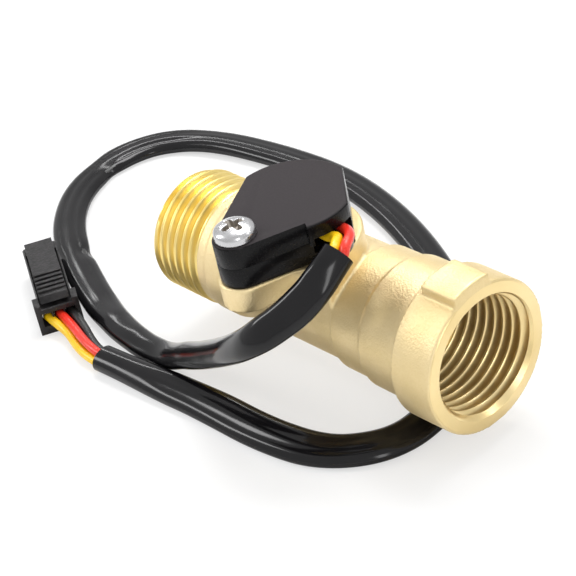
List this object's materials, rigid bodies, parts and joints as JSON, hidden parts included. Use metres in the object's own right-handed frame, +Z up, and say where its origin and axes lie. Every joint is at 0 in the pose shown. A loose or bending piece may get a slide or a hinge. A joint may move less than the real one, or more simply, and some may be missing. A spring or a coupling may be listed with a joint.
{
  "type": "water flow sensor",
  "caption": "Brass in-line water flow sensor with a turbine inside, a black Hall sensor housing on top and a sleeved cable with a small plug.",
  "frame": {"origin": "on the pipe's axis, where the female thread starts behind its mouth chamfer", "axes": "+X along the pipe towards the female end, +Z up through the sensor housing"},
  "size_m": [0.12, 0.0659, 0.0393],
  "materials": {
    "cast_brass": "sand-cast satin",
    "black_plastic": "moulded satin",
    "grey_lid": "moulded satin",
    "white_plastic": "moulded natural",
    "spring_steel": "bright",
    "shaft_steel": "ground",
    "screw_steel": "plated",
    "magnet": "sintered ferrite, dark grey",
    "seal_rubber": "moulded",
    "board_green": "solder mask",
    "chip_black": "moulded epoxy",
    "ceramic": "fired",
    "solder": "tin",
    "sleeve_pvc": "glossy soft tube",
    "red_insulation": "extruded",
    "yellow_insulation": "extruded",
    "black_insulation": "extruded",
    "connector_nylon": "moulded",
    "terminal_tin": "tin plated"
  },
  "bodies": {
    "sensor": {"brass_body": "cast_brass", "flow_guide": "white_plastic", "retaining_ring": "spring_steel", "insert_o_ring": "seal_rubber", "rotor_cage": "white_plastic", "rotor_shaft": "shaft_steel", "front_washer": "white_plastic", "rear_washer": "white_plastic", "sensor_base": "black_plastic", "sensor_cover": "grey_lid", "cover_screw": "screw_steel", "circuit_board": "board_green", "hall_chip": "chip_black", "board_resistor": "ceramic", "board_capacitor": "ceramic", "solder_joints": "solder", "red_wire": "red_insulation", "yellow_wire": "yellow_insulation", "black_wire": "black_insulation", "cable_sleeve": "sleeve_pvc", "connector_housing": "connector_nylon", "connector_terminals": "terminal_tin"},
    "rotor": {"impeller": "white_plastic", "magnet_ring": "magnet"}
  },
  "joints": [
    {"name": "rotor_spin", "type": "hinge", "parent": "sensor", "child": "rotor", "pos_m": [-0.0277, 0, 0], "axis": [1, 0, 0], "continuous": true}
  ]
}
